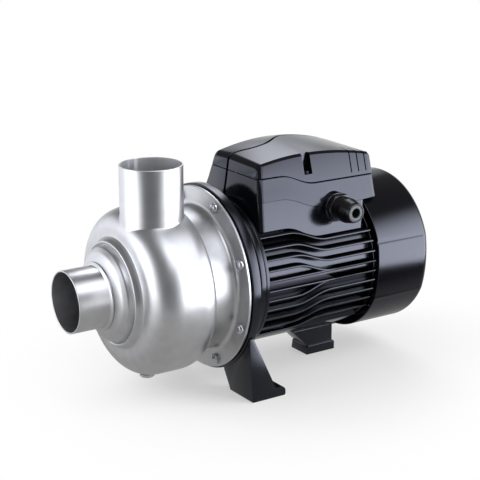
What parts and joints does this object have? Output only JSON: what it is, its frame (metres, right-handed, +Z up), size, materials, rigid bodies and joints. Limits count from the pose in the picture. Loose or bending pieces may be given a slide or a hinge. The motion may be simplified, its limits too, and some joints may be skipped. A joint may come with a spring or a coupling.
{
  "type": "centrifugal pump",
  "caption": "Close-coupled centrifugal pump: pressed stainless casing with plain tube ports, black wave-finned air-cooled motor, terminal box, cable gland and cast feet.",
  "frame": {"origin": "on the ground plane, midway between the two front foot holes and under the shaft", "axes": "+Z up along the discharge tube, +Y from the suction port to the fan, +X to the side of the cable gland"},
  "size_m": [0.1854, 0.3781, 0.231],
  "materials": {
    "stainless": "satin brushed stainless",
    "bolt_steel": "plain zinc-plated steel",
    "bracket_paint": "gloss black enamel on cast iron",
    "motor_paint": "gloss black enamel on cast aluminium",
    "box_plastic": "gloss black moulding",
    "cover_plastic": "gloss black moulding",
    "fan_plastic": "black nylon",
    "gland_plastic": "black nylon",
    "rubber": "black nitrile",
    "seal_face": "lapped ceramic and carbon",
    "bearing_steel": "ground bearing steel",
    "shaft_steel": "turned stainless",
    "lamination": "stacked electrical steel",
    "copper": "enamelled copper wire",
    "capacitor_plastic": "pale plastic can",
    "block_plastic": "moulded phenolic"
  },
  "bodies": {
    "frame": {"capacitor_strap": "bolt_steel", "casing_bolts": "bolt_steel", "casing_cover": "stainless", "casing_o_ring": "rubber", "discharge_tube": "stainless", "drain_plug": "stainless", "drain_plug_washer": "rubber", "fan_cover": "cover_plastic", "fan_cover_screws": "bolt_steel", "front_bearing_outer_race": "bearing_steel", "gland_body": "gland_plastic", "gland_nut": "gland_plastic", "gland_seal": "rubber", "lid_screws": "bolt_steel", "motor_body": "motor_paint", "motor_bracket": "bracket_paint", "preload_washer": "bolt_steel", "rear_bearing_outer_race": "bearing_steel", "rear_foot": "motor_paint", "rear_foot_screws": "bolt_steel", "rear_shield": "motor_paint", "run_capacitor": "capacitor_plastic", "seal_seat": "seal_face", "stator_core": "lamination", "stator_windings": "copper", "suction_tube": "stainless", "suction_weld_collar": "stainless", "terminal_block": "block_plastic", "terminal_box_base": "box_plastic", "terminal_box_lid": "box_plastic", "tie_bolts": "bolt_steel", "vent_plug": "stainless", "vent_plug_washer": "rubber", "volute_casing": "stainless", "wear_ring": "stainless"},
    "rotor": {"shaft": "shaft_steel", "impeller": "stainless", "impeller_nut": "stainless", "impeller_key": "bolt_steel", "seal_head": "seal_face", "seal_bellows": "rubber", "slinger": "rubber", "rotor_core": "lamination", "front_bearing_inner_race": "bearing_steel", "rear_bearing_inner_race": "bearing_steel", "fan": "fan_plastic", "fan_clip": "bolt_steel"},
    "front_cage": {"front_bearing_ball_cage": "bearing_steel"},
    "rear_cage": {"rear_bearing_ball_cage": "bearing_steel"}
  },
  "joints": [
    {"name": "shaft_spin", "type": "hinge", "parent": "frame", "child": "rotor", "pos_m": [0, -0.027, 0.105], "axis": [0, -1, 0], "continuous": true},
    {"name": "front_cage_spin", "type": "hinge", "parent": "frame", "child": "front_cage", "pos_m": [0, -0.005, 0.105], "axis": [0, -1, 0], "continuous": true},
    {"name": "rear_cage_spin", "type": "hinge", "parent": "frame", "child": "rear_cage", "pos_m": [0, 0.136, 0.105], "axis": [0, -1, 0], "continuous": true}
  ],
  "couplings": [
    {"joint": "front_cage_spin", "follows": "shaft_spin", "ratio": 0.3746},
    {"joint": "rear_cage_spin", "follows": "shaft_spin", "ratio": 0.3877}
  ]
}
